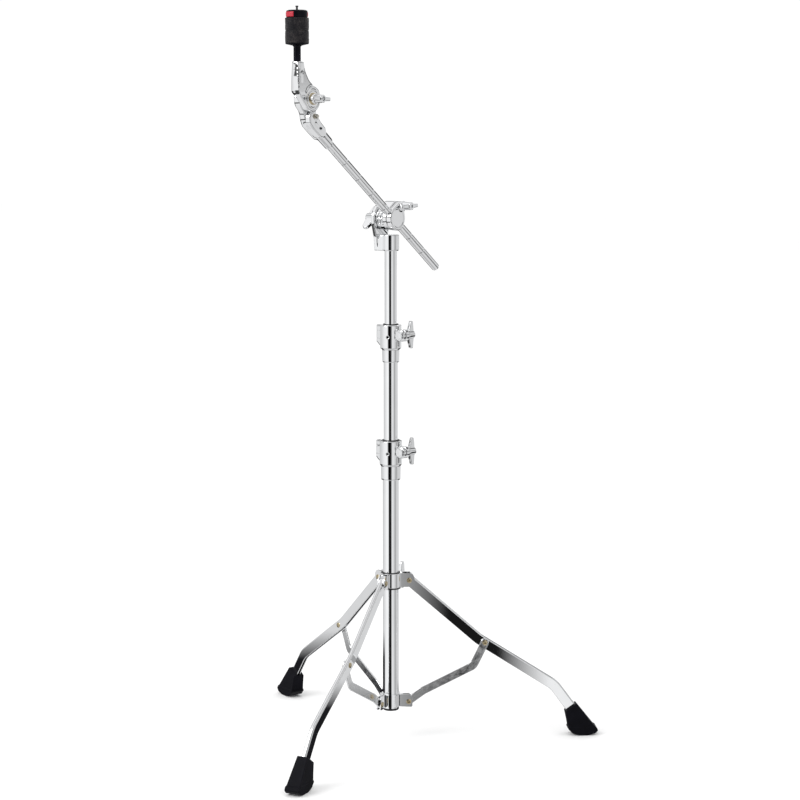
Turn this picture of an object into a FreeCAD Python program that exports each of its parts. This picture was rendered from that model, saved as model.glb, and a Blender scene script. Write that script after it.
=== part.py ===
import FreeCAD, Part
import math
import os

# Cymbal boom stand: single-braced tripod, two telescoping mast
# stages with split height clamps, tilting boom arm and a cymbal tilter.
# Millimetres.  Modelled about the mast axis (u, v, z): +u is the way the boom
# leans, +v is the side of the boom tilter that carries its clamp wing nut, z is
# up with the floor at z = 0.  On export everything is moved by (SHIFT_X, SHIFT_Y)
# so that the origin is the centre of the stand's own footprint on the floor.

V = FreeCAD.Vector
os.makedirs("parts", exist_ok=True)

# ---------------------------------------------------------------- dimensions
SHIFT_X, SHIFT_Y = -53.44, 25.91      # mast axis in the exported frame

BASE_R, MID_R, TOP_R = 12.70, 11.10, 9.55     # tube outer radii (1", 7/8", 3/4")
TUBE_WALL = 1.2
BASE_Z0, BASE_Z1 = 50.0, 436.4
MID_Z0, MID_Z1 = 187.0, 617.4
TOP_Z0, TOP_Z1 = 347.0, 791.0

LEG_ANGLES = (9.68, 129.68, 249.68)   # front, right, left (rear) leg headings
LEG_NAMES = ("front", "right", "left")
COLLAR_PIV = (28.4, 254.3)            # leg hinge on the sliding collar (r, z)
LEG_RIVET = (147.6, 152.5)            # leg to brace
HUB_PIV = (27.4, 60.4)                # brace to fixed hub
LEG_PATH = ((28.4, 254.3), (138.5, 157.6), (258.3, 81.2), (296.0, 29.8))
LEG_H, LEG_W, LEG_T = 17.0, 7.0, 1.6  # channel depth, width, sheet
BRACE_PATH = ((147.6, 152.5), (129.5, 115.5), (50.5, 76.8), (27.4, 60.4))
BRACE_W, BRACE_T = 12.6, 3.0
BRACE_C = -5.4                        # strap mid-plane beside the leg
RIVET_R = 2.5
RUN = 0.05                            # radial running clearance

LC = dict(z0=413.9, zs=438.0, z1=475.0, rb=17.6, rs=15.7, rin=BASE_R, rt=MID_R,
          R=25.6, zb=458.9, b0=18.0, hub=25.5)
UC = dict(z0=597.2, zs=619.0, z1=655.2, rb=16.5, rs=13.6, rin=MID_R, rt=TOP_R,
          R=24.4, zb=640.0, b0=16.9, hub=24.2)
CLAMP_ANG = 80.4                      # heading of the clamp ears

EPS = math.radians(35.48)             # boom arm elevation
PIV_Z = 818.5                         # boom pivot height
ROD_V = 4.5                           # boom rod plane
ROD_R = 6.35
ROD_T0, ROD_T1 = -141.6, 238.0
GROOVES = (153.2, 112.8, 72.3, 31.9, -8.6, -49.0, -89.5)
CL_A, CL_P = 4.0, 20.2                # clamp bolt from the pivot: along, square to the rod

TP_U, TP_Z = 211.7, 998.6             # cymbal tilter pivot
CR_U = 234.5                          # cymbal rod axis
TIP_Z = 1129.6
MATE_Z0, MATE_Z1, MATE_R = 1112.9, 1123.6, 15.35
FELT_Z0, FELT_ZM, FELT_R = 1076.9, 1094.8, 16.9

# ---------------------------------------------------------------- helpers
def cyl(r, h, o=(0, 0, 0), d=(0, 0, 1)):
    return Part.makeCylinder(r, h, V(*o), V(*d))

def cone(r1, r2, h, o=(0, 0, 0), d=(0, 0, 1)):
    return Part.makeCone(r1, r2, h, V(*o), V(*d))

def box(x0, x1, y0, y1, z0, z1):
    return Part.makeBox(x1 - x0, y1 - y0, z1 - z0, V(x0, y0, z0))

def frame(shape, o, z, x):
    """Place a shape built on its own axes: local z -> z, local x -> x."""
    z = V(*z); z.normalize()
    x = V(*x); x = x - z * x.dot(z); x.normalize()
    y = z.cross(x)
    m = FreeCAD.Matrix(x.x, y.x, z.x, o[0], x.y, y.y, z.y, o[1], x.z, y.z, z.z, o[2], 0, 0, 0, 1)
    return _moved(shape, m)

def _moved(shape, m):
    s = shape.copy()
    s.Placement = FreeCAD.Placement(m)
    return s

def rotz(shape, a):
    s = shape.copy()
    s.rotate(V(0, 0, 0), V(0, 0, 1), a)
    return s

def fuse(*a):
    a = [s for s in a if s is not None]
    s = a[0].multiFuse(a[1:]) if len(a) > 1 else a[0]
    return s.removeSplitter()

def cut(a, *b):
    for s in b:
        a = a.cut(s)
    return a

def tidy(s):
    sol = s.Solids
    return sol[0] if len(sol) == 1 else Part.makeCompound(sol)

def fillet(s, r, test):
    """Round every edge the test picks; keep the sharp shape where that fails."""
    e = [k for k in s.Edges if test(k)]
    if not e:
        return s
    for rr in (r, r * 0.6, r * 0.35):
        try:
            f = s.makeFillet(rr, e)
            if f.isValid() and f.Solids and f.Volume > 0.5 * s.Volume:
                return f
        except Exception:
            pass
    ok = s
    for k in e:
        try:
            f = ok.makeFillet(r * 0.5, [k])
            if f.isValid() and f.Solids:
                ok = f
        except Exception:
            pass
    return ok

def poly2(pts, rad):
    """Closed outline in the local XY plane; rad = one corner radius or a list."""
    n = len(pts)
    rs = rad if isinstance(rad, (list, tuple)) else [rad] * n
    ins, outs, mids = [], [], []
    for i in range(n):
        p = V(pts[i][0], pts[i][1], 0)
        a = V(pts[i - 1][0], pts[i - 1][1], 0)
        b = V(pts[(i + 1) % n][0], pts[(i + 1) % n][1], 0)
        r = rs[i]
        da, db = (a - p), (b - p)
        la, lb = da.Length, db.Length
        da.normalize(); db.normalize()
        ang = math.acos(max(-1, min(1, da.dot(db))))
        if r <= 0 or ang > math.pi - 0.01:
            ins.append(p); outs.append(p); mids.append(None)
            continue
        t = r / math.tan(ang / 2)
        t = min(t, 0.49 * la, 0.49 * lb)
        r = t * math.tan(ang / 2)
        bis = da + db; bis.normalize()
        c = p + bis * (r / math.sin(ang / 2))
        ins.append(p + da * t); outs.append(p + db * t); mids.append(c - bis * r)
    edges = []
    for i in range(n):
        if mids[i] is not None:
            edges.append(Part.Arc(ins[i], mids[i], outs[i]).toShape())
        j = (i + 1) % n
        if (ins[j] - outs[i]).Length > 1e-6:
            edges.append(Part.LineSegment(outs[i], ins[j]).toShape())
    return Part.Wire(Part.__sortEdges__(edges))

def prism(pts, rad, h, z0=0.0):
    f = Part.Face(poly2(pts, rad))
    s = f.extrude(V(0, 0, h))
    s.translate(V(0, 0, z0))
    return s

def revolve(pts, rad=0):
    """Profile (r, z) turned about the local z axis."""
    w = poly2(pts, rad)
    f = Part.Face(w)
    f.rotate(V(0, 0, 0), V(1, 0, 0), 90)
    s = f.revolve(V(0, 0, 0), V(0, 0, 1), 360)
    return s

def strip(path, half, round_ends=True, bend=18.0):
    """Outline of a flat strip of half-width `half` along a bent centre line."""
    P = [V(p[0], p[1], 0) for p in path]
    left, right = [], []
    for i, p in enumerate(P):
        if i == 0:
            d = P[1] - P[0]; d.normalize(); n = V(-d.y, d.x, 0); k = 1.0
        elif i == len(P) - 1:
            d = P[-1] - P[-2]; d.normalize(); n = V(-d.y, d.x, 0); k = 1.0
        else:
            d1 = P[i] - P[i - 1]; d1.normalize()
            d2 = P[i + 1] - P[i]; d2.normalize()
            n1 = V(-d1.y, d1.x, 0); n2 = V(-d2.y, d2.x, 0)
            n = n1 + n2; n.normalize(); k = 1.0 / n.dot(n1)
        left.append(p + n * half * k); right.append(p - n * half * k)
    pts = [(q.x, q.y) for q in left] + [(q.x, q.y) for q in reversed(right)]
    rad = []
    m = len(P)
    for i in range(m):
        rad.append(0 if i in (0, m - 1) else bend)
    for i in range(m):
        rad.append(0 if i in (0, m - 1) else bend)
    face = Part.Face(poly2(pts, rad))
    return face

def xz(face_or_shape, y0, y1):
    """Extrude a face drawn as (r, z) in local XY so that it stands in the XZ
    plane between y0 and y1."""
    s = face_or_shape.extrude(V(0, 0, y1 - y0))
    s.rotate(V(0, 0, 0), V(1, 0, 0), 90)       # (x, y, z) -> (x, -z, y)
    s.translate(V(0, y1, 0))
    return s

def bolt_axis_cyl(r, r0, z0, t0, t1):
    """Cylinder across a leg plane: at radius r0, height z0, from t0 to t1."""
    return cyl(r, t1 - t0, (r0, t0, z0), (0, 1, 0))

def rivet(r0, z0, t0, t1, head0=True, head1=True, hollow=True):
    """Semi-tubular rivet through t0..t1 with low domed heads outside."""
    s = bolt_axis_cyl(RIVET_R, r0, z0, t0, t1)
    hd = revolve([(0, 0), (4.2, 0), (4.0, 0.7), (2.7, 1.2), (0, 1.25)], 0)
    if head1:
        s = fuse(s, frame(hd, (r0, t1, z0), (0, 1, 0), (1, 0, 0)))
    if head0:
        s = fuse(s, frame(hd, (r0, t0, z0), (0, -1, 0), (1, 0, 0)))
        if hollow:
            s = cut(s, cyl(1.6, 3.2, (r0, t0 - 1.4, z0), (0, 1, 0)))
    return tidy(s)

def wing_nut(hub_r, hub_l, half, tip0, tip1, root0, root1, th, bore, depth=None, lip=1.3):
    """Cast wing nut on local z (0 = seat face), wings along local x."""
    hub = revolve([(0, 0), (hub_r + lip, 0), (hub_r + lip, 1.6), (hub_r, 3.2),
                   (hub_r * 0.93, hub_l - 1.0), (hub_r * 0.93 - 0.9, hub_l), (0, hub_l)],
                  [0, 0.3, 0.5, 1.2, 0.6, 0.4, 0])
    out = [( -half, tip0), (-hub_r * 0.7, root0), (hub_r * 0.7, root0), (half, tip0),
           (half + 0.0, tip1), (hub_r * 0.9, root1), (-hub_r * 0.9, root1), (-half, tip1)]
    rr = [ (tip1 - tip0) * 0.48, 8, 8, (tip1 - tip0) * 0.48,
           (tip1 - tip0) * 0.48, 6, 6, (tip1 - tip0) * 0.48]
    f = Part.Face(poly2(out, rr))
    blade = xz(f, -th * 0.6, th * 0.6)
    # blade gets thinner towards the tips
    tap = Part.Face(poly2([(-half - 1, th * 0.40), (-hub_r, th * 0.56), (hub_r, th * 0.56), (half + 1, th * 0.40),
                           (half + 1, -th * 0.40), (hub_r, -th * 0.56), (-hub_r, -th * 0.56), (-half - 1, -th * 0.40)], 0)
                    ).extrude(V(0, 0, hub_l + 20))
    tap.translate(V(0, 0, -2))
    blade = blade.common(tap)
    blade = fillet(blade, 1.1, lambda e: abs(e.BoundBox.XMax) > hub_r or abs(e.BoundBox.XMin) > hub_r)
    s = fuse(hub, blade)
    d = hub_l + 1 if depth is None else depth
    s = cut(s, cyl(bore, d + 1, (0, 0, -1)))
    if depth is not None:
        s = cut(s, cyl(bore * 0.82, 4.5, (0, 0, hub_l - 4.0)))
    return tidy(s)

NODES = {}

def add(name, shape):
    shape = tidy(shape)
    s = shape.copy()
    s.translate(V(SHIFT_X, SHIFT_Y, 0))
    NODES[name] = s

# ---------------------------------------------------------------- mast tubes
def tube(r, z0, z1, wall=TUBE_WALL):
    s = revolve([(r - wall, z0), (r, z0), (r, z1), (r - wall, z1)], 0)
    return s

add("base_tube", tube(BASE_R, BASE_Z0, BASE_Z1))
add("mid_tube", tube(MID_R, MID_Z0, MID_Z1))
add("upper_tube", tube(TOP_R, TOP_Z0, TOP_Z1))

# nylon plug closing the foot of the base tube
bi = BASE_R - TUBE_WALL
add("base_tube_plug", revolve([(0, 46.5), (BASE_R - 0.8, 46.5), (BASE_R, 47.6), (BASE_R, 50.0), (bi, 50.0), (bi, 60.0), (bi - 2, 60.0), (bi - 2, 50.5), (0, 50.5)], 0))
# glide plugs in the feet of the two moving tubes; the tube turns on its plug
def glide(ro, ri, z0):
    return revolve([(0, z0 - 5.5), (ro - 0.6, z0 - 5.5), (ro, z0 - 4.9), (ro, z0 - 0.3), (ri, z0 - 0.3), (ri, z0 + 14), (ri - 0.8, z0 + 15), (ri - 2.2, z0 + 15), (ri - 2.2, z0 - 3), (0, z0 - 3)], 0)
add("mid_tube_glide", glide(BASE_R - TUBE_WALL - 0.06, MID_R - TUBE_WALL - RUN, MID_Z0))
add("upper_tube_glide", glide(MID_R - TUBE_WALL - 0.06, TOP_R - TUBE_WALL - RUN, TOP_Z0))

# ---------------------------------------------------------------- tripod
def ear(pts, rad, y0, y1):
    return xz(Part.Face(poly2(pts, rad)), y0, y1)

# fixed hub: pressed sheet bracket with three pairs of ears for the braces
HUB_Z0, HUB_Z1 = 53.0, 72.5
hub = revolve([(BASE_R, HUB_Z0), (BASE_R + 2.4, HUB_Z0), (BASE_R + 2.4, HUB_Z1 - 0.6), (BASE_R + 1.8, HUB_Z1 + 1.0), (BASE_R, HUB_Z1 + 1.0)], 0)
hub_parts = [hub]
for a in LEG_ANGLES:
    pts = [(13.4, HUB_Z0), (33.2, HUB_Z0 - 1.2), (33.2, 68.5), (29.0, HUB_Z1), (13.4, HUB_Z1)]
    rad = [0, 2.6, 4.0, 4.0, 0]
    for (t0, t1) in ((BRACE_C + BRACE_T / 2 + 0.35, BRACE_C + BRACE_T / 2 + 2.35),
                     (BRACE_C - BRACE_T / 2 - 2.35, BRACE_C - BRACE_T / 2 - 0.35)):
        hub_parts.append(rotz(ear(pts, rad, t0, t1), a))
    # folded web that joins the two ears behind the strap
    w = box(13.3, 18.6, BRACE_C - 3.9, BRACE_C + 3.9, HUB_Z0, HUB_Z1)
    hub_parts.append(rotz(w, a))
# pressed flutes between the ears
for a in LEG_ANGLES:
    hub_parts.append(rotz(fillet(box(12.9, 17.4, -3.6, 3.6, HUB_Z0, HUB_Z1), 1.6, lambda e: e.BoundBox.ZLength > 15 and e.BoundBox.XMax > 17), a + 62))
hub = fuse(*hub_parts)
hub = cut(hub, cyl(BASE_R, 60, (0, 0, 30)))
stub_in = (BRACE_C + BRACE_T / 2 + 0.35, BRACE_C + BRACE_T / 2 + 2.35)
stub_out = (BRACE_C - BRACE_T / 2 - 2.35, BRACE_C - BRACE_T / 2 - 0.35)
for a in LEG_ANGLES:
    hub = cut(hub, rotz(bolt_axis_cyl(RIVET_R, HUB_PIV[0], HUB_PIV[1], -12, 2), a))
add("base_hub", hub)
stubs = []
for a in LEG_ANGLES:
    s1 = rivet(HUB_PIV[0], HUB_PIV[1], stub_in[0], stub_in[1], head0=False, head1=True)
    s2 = rivet(HUB_PIV[0], HUB_PIV[1], stub_out[0], stub_out[1], head0=True, head1=False)
    stubs += [rotz(s1, a), rotz(s2, a)]
add("hub_rivets", Part.makeCompound(stubs))

# sliding leg collar
COL_Z0, COL_Z1 = 243.6, 266.3
ring = revolve([(14.2, COL_Z0), (16.3, COL_Z0), (16.3, COL_Z1), (14.2, COL_Z1)], 0)
ring = fillet(ring, 0.7, lambda e: True)
cparts = [ring]
LE0 = LEG_W / 2 + 0.35
for a in LEG_ANGLES:
    pts = [(15.0, COL_Z0 + 0.4), (27.5, COL_Z0 + 0.2), (36.2, 249.8), (36.2, 260.5), (31.0, COL_Z1 - 0.4), (15.0, COL_Z1 - 0.4)]
    rad = [0, 5.0, 5.0, 6.0, 5.0, 0]
    for (t0, t1) in ((LE0, LE0 + 2.0), (-LE0 - 2.0, -LE0)):
        cparts.append(rotz(ear(pts, rad, t0, t1), a))
    cparts.append(rotz(box(14.6, 18.4, -LE0 - 1, LE0 + 1, COL_Z0 + 0.4, COL_Z1 - 0.4), a))
WB_A = 189.68                              # wing bolt between right and left legs
boss = fuse(box(14.8, 19.5, -8.0, 8.0, COL_Z0 + 1.5, COL_Z1 - 1.5), cyl(7.6, 10.5, (15.5, 0, 255.0), (1, 0, 0)))
boss = fillet(boss, 1.0, lambda e: e.BoundBox.XMax > 25)
cparts.append(rotz(boss, WB_A))
collar = fuse(*cparts)
collar = cut(collar, cyl(14.2, 40, (0, 0, 235)))
for a in LEG_ANGLES:
    collar = cut(collar, rotz(bolt_axis_cyl(RIVET_R, COLLAR_PIV[0], COLLAR_PIV[1], -8, 8), a))
collar = cut(collar, rotz(cyl(3.0 + RUN, 16, (13, 0, 255.0), (1, 0, 0)), WB_A))
add("leg_collar", collar)
# nylon sleeve inside the collar, with lips at both ends
slv = revolve([(BASE_R + 0.06, COL_Z0 - 2.4), (15.2, COL_Z0 - 2.4), (15.2, COL_Z0 - 0.1), (14.2, COL_Z0 - 0.1), (14.2, COL_Z1 + 0.1), (15.0, COL_Z1 + 0.1), (15.0, COL_Z1 + 1.0), (BASE_R + 0.06, COL_Z1 + 1.0)], 0)
slv = cut(slv, rotz(cyl(3.3, 16, (11, 0, 255.0), (1, 0, 0)), WB_A))
add("collar_sleeve", slv)
# wing bolt with nylon tip
tip = cyl(2.95, 2.1, (12.85, 0, 255.0), (1, 0, 0))
wb = wing_nut(6.6, 17.0, 21.4, 8.0, 16.4, 3.0, 16.0, 6.0, 0.01)
wb = frame(wb, (27.6, 0, 255.0), (1, 0, 0), (0, 0, 1))
wb = fuse(wb, cyl(3.0, 20.0, (15.2, 0, 255.0), (1, 0, 0)))
add("collar_wing_bolt", rotz(tidy(wb), WB_A))
add("collar_bolt_pad", rotz(tip, WB_A))

def leg_solid(filled=False):
    P = [V(p[0], 0, p[1]) for p in LEG_PATH]
    # centre line with tangent arcs
    edges = []
    cur = P[0]
    for i in range(1, len(P) - 1):
        r = (70.0, 42.0)[i - 1]
        a = P[i] - P[i - 1]; a.normalize()
        b = P[i + 1] - P[i]; b.normalize()
        ang = math.acos(a.dot(b))
        t = r * math.tan(ang / 2)
        p1 = P[i] - a * t; p2 = P[i] + b * t
        bis = b - a; bis.normalize()
        c = P[i] + bis * (r / math.cos(ang / 2))
        edges.append(Part.LineSegment(cur, p1).toShape())
        edges.append(Part.Arc(p1, c - bis * r, p2).toShape())
        cur = p2
    edges.append(Part.LineSegment(cur, P[-1]).toShape())
    path = Part.Wire(edges)
    h, w, t = LEG_H / 2, LEG_W / 2, LEG_T
    prof = poly2([(-w, -h), (-w, h), (w, h), (w, -h), (w - t, -h), (w - t, h - t), (-w + t, h - t), (-w + t, -h)],
                 [0.6, 2.6, 2.6, 0.6, 0.6, 1.2, 1.2, 0.6])
    if filled:
        prof = poly2([(-w, -h), (-w, h), (w, h), (w, -h)], [0.6, 2.6, 2.6, 0.6])
    d = P[1] - P[0]; d.normalize()
    up = V(0, 1, 0).cross(d); up = up * (1 if up.z > 0 else -1)
    # local x -> tangential, local y -> up, local z -> along
    m = FreeCAD.Matrix(0, up.x, d.x, P[0].x, 1, up.y, d.y, P[0].y, 0, up.z, d.z, P[0].z, 0, 0, 0, 1)
    prof.transformShape(m)
    s = path.makePipeShell([prof], True, False)
    return s

LEG = leg_solid()
LEG_FILL = leg_solid(True)
end = bolt_axis_cyl(LEG_H / 2, COLLAR_PIV[0], COLLAR_PIV[1], -LEG_W / 2, LEG_W / 2)
# solid boss where the brace rivet passes
dvec = V(LEG_PATH[2][0] - LEG_PATH[1][0], 0, LEG_PATH[2][1] - LEG_PATH[1][1]); dvec.normalize()
spool = bolt_axis_cyl(4.4, LEG_RIVET[0], LEG_RIVET[1], -LEG_W / 2 + 0.4, LEG_W / 2 - 0.4)
LEG = fuse(LEG, end, spool)
LEG = cut(LEG, bolt_axis_cyl(RIVET_R + RUN, COLLAR_PIV[0], COLLAR_PIV[1], -6, 6),
          bolt_axis_cyl(RIVET_R, LEG_RIVET[0], LEG_RIVET[1], -6, 6))

BR = xz(strip(BRACE_PATH, BRACE_W / 2, bend=16.0), BRACE_C - BRACE_T / 2, BRACE_C + BRACE_T / 2)
for p in (BRACE_PATH[0], BRACE_PATH[-1]):
    BR = BR.fuse(bolt_axis_cyl(BRACE_W / 2, p[0], p[1], BRACE_C - BRACE_T / 2, BRACE_C + BRACE_T / 2))
BR = BR.removeSplitter()
BR = fillet(BR, 0.9, lambda e: e.BoundBox.YLength < 0.01)
BR = cut(BR, bolt_axis_cyl(RIVET_R + RUN, LEG_RIVET[0], LEG_RIVET[1], -12, 0),
         bolt_axis_cyl(RIVET_R + 0.1, HUB_PIV[0], HUB_PIV[1], -12, 0))

# rubber foot: hoof shape with a lip above a crowned sole
side = [(276.2, 38.4), (293.8, 51.2), (322.6, 15.0), (325.6, 13.4), (328.6, 8.2), (324.5, 3.2), (313.0, 0.0), (298.5, 0.0),
        (287.0, 3.6), (280.2, 11.2), (281.6, 13.2), (279.8, 23.0)]
foot = xz(Part.Face(poly2(side, [1.6, 1.6, 1.0, 0.6, 2.4, 6, 5, 5, 6, 1.5, 0.6, 8])), -16, 16)
fr = Part.Face(poly2([(-12.0, -1), (-12.0, 12.6), (-11.2, 13.8), (-8.5, 53), (8.5, 53), (11.2, 13.8), (12.0, 12.6), (12.0, -1)], [0, 0.8, 0.8, 0, 0, 0.8, 0.8, 0]))
fr = fr.extrude(V(0, 0, 80))
# (x, y, z) -> (z, x, y): the outline's x is tangential, its y is height
m = FreeCAD.Matrix(0, 0, 1, 262, 1, 0, 0, 0, 0, 1, 0, 0, 0, 0, 0, 1)
fr.transformShape(m)
foot = foot.common(fr).removeSplitter()
foot = fillet(foot, 2.0, lambda e: e.BoundBox.ZMin > 12.5 and e.BoundBox.ZLength > 8 and e.BoundBox.YLength > 0.5)
foot = fillet(foot, 1.2, lambda e: e.BoundBox.ZMax < 13.2 and e.BoundBox.YLength < 0.05 and e.BoundBox.ZMax > 0.05)
# socket for the leg's end
foot = cut(foot, LEG_FILL)
# rubber core that fills the channel, so that the leg is held
for a, nm in zip(LEG_ANGLES, LEG_NAMES):
    add("leg_" + nm, rotz(tidy(LEG), a))
    add("foot_" + nm, rotz(tidy(foot), a))
    add("brace_" + nm, rotz(tidy(BR), a))
add("leg_pivot_rivets", Part.makeCompound([rotz(rivet(COLLAR_PIV[0], COLLAR_PIV[1], -LE0 - 2.0, LE0 + 2.0), a) for a in LEG_ANGLES]))
for a, nm in zip(LEG_ANGLES, LEG_NAMES):
    add("brace_rivet_" + nm, rotz(rivet(LEG_RIVET[0], LEG_RIVET[1], BRACE_C - BRACE_T / 2 - 0.35, LEG_W / 2), a))

# ---------------------------------------------------------------- height clamps
def clamp(pre, c):
    z0, zs, z1, rb, rs, R, zb = c["z0"], c["zs"], c["z1"], c["rb"], c["rs"], c["R"], c["zb"]
    rbush = c["rt"] + RUN + 1.5
    band = revolve([(rbush - 1.0, zs - 1.6), (rs, zs - 1.6), (rb, zs), (rb, z1), (rbush - 1.0, z1)], [0, 0, 0.8, 1.4, 0])
    skirt = revolve([(c["rin"], z0), (rs - 1.0, z0), (rs - 0.4, z0 + 1.2), (rs, zs - 1.6), (c["rin"], zs - 1.6)], 0)
    # ears at +x carry the bolt; the block at -x is the casting's thick back
    earb = cyl(9.3, 13.2, (R, -5.4, zb), (0, 1, 0))
    web = box(rb - 5, R, -4.9, 6.8, zb - 8.8, zb + 8.8)
    ears = fillet(fuse(earb, web), 0.9, lambda e: e.BoundBox.YLength < 0.05 and e.BoundBox.XMax > R + 2)
    back = xz(Part.Face(poly2([(-rb + 3, zs + 0.5), (-rb - 1.5, zs + 0.5), (-rb - 11.4, zs + 8.6), (-rb - 11.4, z1 - 1.4), (-rb + 3, z1 - 1.4)], [0, 2, 2, 1.2, 0])), -4.8, 4.8)
    back = fillet(back, 2.6, lambda e: e.BoundBox.XMax < -rb - 11.0 and e.BoundBox.ZLength > 10)
    body = fuse(skirt, band, ears, back)
    for a, b in ((zs + 13.0, zs + 14.2), (z1 - 10.6, z1 - 9.4)):
        body = cut(body, box(-40, -rb - 1.2, -10, 10, a, b))
    body = cut(body, cyl(c["rin"], zs - 1.6 - z0 + 20, (0, 0, z0 - 20)), cyl(rbush + RUN, 60, (0, 0, zs), (0, 0, 1)),
               cyl(c["rt"] + 0.6, 4, (0, 0, zs - 2.5)))
    body = cut(body, box(0, 60, -0.7, 0.7, zs + 3.0, z1 + 1), cyl(3.1, 40, (R, -20, zb), (0, 1, 0)),
               cyl(1.8, 30, (0, 0, zb - 3.0), (math.cos(math.radians(-62)), math.sin(math.radians(-62)), 0)))
    body = tidy(body)
    if len(body.Solids) > 1:
        body = max(body.Solids, key=lambda q: q.Volume)
    add(pre + "_clamp_body", rotz(body, CLAMP_ANG))
    bush = revolve([(c["rt"] + RUN, zs + 0.35), (rbush, zs + 0.35), (rbush, z1 + 0.3), (rbush + 0.9, z1 + 0.3), (rbush + 0.7, z1 + 1.2), (c["rt"] + RUN, z1 + 1.2)], 0)
    bush = cut(bush, box(0, 40, -0.8, 0.8, zs, z1 + 3))
    add(pre + "_clamp_bushing", rotz(bush, CLAMP_ANG))
    # bolt: round head with a cut ring, plain shank through both ears
    hd = revolve([(0, 0), (7.6, 0), (7.6, 1.5), (7.0, 2.1), (5.9, 2.1), (5.6, 1.6), (5.3, 1.6), (4.9, 2.4), (0, 2.7)], 0)
    for k in range(10):
        ang = math.radians(36 * k + 9)
        hd = cut(hd, cyl(0.9, 4, (8.0 * math.cos(ang), 8.0 * math.sin(ang), -0.5)))
    bo = frame(hd, (R, -5.4, zb), (0, -1, 0), (1, 0, 0))
    bo = fuse(bo, cyl(3.0, 5.4 + c["hub"] - 3.2, (R, -5.4, zb), (0, 1, 0)))
    add(pre + "_clamp_bolt", rotz(bo, CLAMP_ANG))
    ws = revolve([(3.0, 0), (7.4, 0), (7.4, 1.3), (3.0, 1.3)], 0)
    add(pre + "_clamp_washer", rotz(frame(ws, (R, 7.8, zb), (0, 1, 0), (1, 0, 0)), CLAMP_ANG))
    n0 = 9.25
    wn = wing_nut(6.3, c["hub"] - n0, 21.2, c["b0"] - n0, c["b0"] + 5.2 - n0, c["b0"] - 4.6 - n0, c["b0"] + 6.0 - n0, 5.6, 3.0 + RUN)
    add(pre + "_clamp_wing_nut", rotz(frame(wn, (R, n0, zb), (0, 1, 0), (0, 0, 1)), CLAMP_ANG))

clamp("lower", LC)
clamp("upper", UC)

# ---------------------------------------------------------------- boom tilter
# local boom frame: a = along the rod, p = square to it (up), v = model +Y
A = V(math.cos(EPS), 0, math.sin(EPS))
Pp = V(-math.sin(EPS), 0, math.cos(EPS))
def ap(a, p, v=0.0):
    q = V(0, 0, PIV_Z) + A * a + Pp * p
    return (q.x, v, q.z)

def plate(pts, rad, v0, v1):
    """Outline given in (along, square) coordinates, thick from v0 to v1."""
    f = Part.Face(poly2(pts, rad)).extrude(V(0, 0, v1 - v0))
    # local x -> A, local y -> Pp, local z -> A x Pp = -Y
    m = FreeCAD.Matrix(A.x, Pp.x, 0, 0, 0, 0, -1, v1, A.z, Pp.z, 0, PIV_Z, 0, 0, 0, 1)
    f.transformShape(m)
    return f

def arc_hull(c1, r1, c2, r2, n=24):
    """Convex outline round two circles, as points."""
    pts = []
    for c, r in ((c1, r1), (c2, r2)):
        for i in range(n * 2):
            a = math.pi * i / n
            pts.append((c[0] + r * math.cos(a), c[1] + r * math.sin(a)))
    pts = sorted(set(pts))
    def half(ps):
        h = []
        for p in ps:
            while len(h) >= 2 and (h[-1][0] - h[-2][0]) * (p[1] - h[-2][1]) - (h[-1][1] - h[-2][1]) * (p[0] - h[-2][0]) <= 0:
                h.pop()
            h.append(p)
        return h
    lo, up = half(pts), half(pts[::-1])
    return lo[:-1] + up[:-1]

def hull2(c1, r1, c2, r2):
    """Exact outline of two circles and their outer tangents, as a face."""
    C1, C2 = V(c1[0], c1[1], 0), V(c2[0], c2[1], 0)
    d = C2 - C1; L = d.Length; th = math.atan2(d.y, d.x)
    be = math.acos((r1 - r2) / L)
    def pt(C, r, a): return V(C.x + r * math.cos(a), C.y + r * math.sin(a), 0)
    a1, a2 = th + be, th - be
    e = [Part.Arc(pt(C1, r1, a1), pt(C1, r1, th + math.pi), pt(C1, r1, a2)).toShape(),
         Part.LineSegment(pt(C1, r1, a2), pt(C2, r2, a2)).toShape(),
         Part.Arc(pt(C2, r2, a2), pt(C2, r2, th), pt(C2, r2, a1)).toShape(),
         Part.LineSegment(pt(C2, r2, a1), pt(C1, r1, a1)).toShape()]
    return Part.Face(Part.Wire(Part.__sortEdges__(e)))

def plate_face(face, v0, v1):
    f = face.extrude(V(0, 0, v1 - v0))
    m = FreeCAD.Matrix(A.x, Pp.x, 0, 0, 0, 0, -1, v1, A.z, Pp.z, 0, PIV_Z, 0, 0, 0, 1)
    f.transformShape(m)
    return f

# holder: socket on the upper tube with a side plate that rises to the pivot
PL0, PL1 = -22.0, -15.9
SOCK_Z0, SOCK_Z1 = 768.7, 793.6
sock = revolve([(TOP_R, SOCK_Z0), (TOP_R + 2.6, SOCK_Z0), (TOP_R + 3.4, SOCK_Z0 + 1.4), (TOP_R + 3.4, SOCK_Z1 - 0.8), (TOP_R + 2.6, SOCK_Z1), (TOP_R, SOCK_Z1)], 0)
cap = cyl(TOP_R, 2.4, (0, 0, SOCK_Z1 - 2.4))
pl = Part.Face(poly2([(-12.6, SOCK_Z0), (12.6, SOCK_Z0), (15.0, 790.0), (21.6, 812.0), (21.6, 826.0), (0, 852.0), (-21.6, 826.0), (-21.6, 812.0), (-15.0, 790.0)],
                     [1.5, 1.5, 20, 22, 12, 24, 12, 22, 20]))
pl = xz(pl, PL0, PL1)
pl = pl.common(fuse(cyl(22.0, 20, (0, -25, PIV_Z), (0, 1, 0)), box(-30, 30, -30, 0, 700, PIV_Z)))
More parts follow.
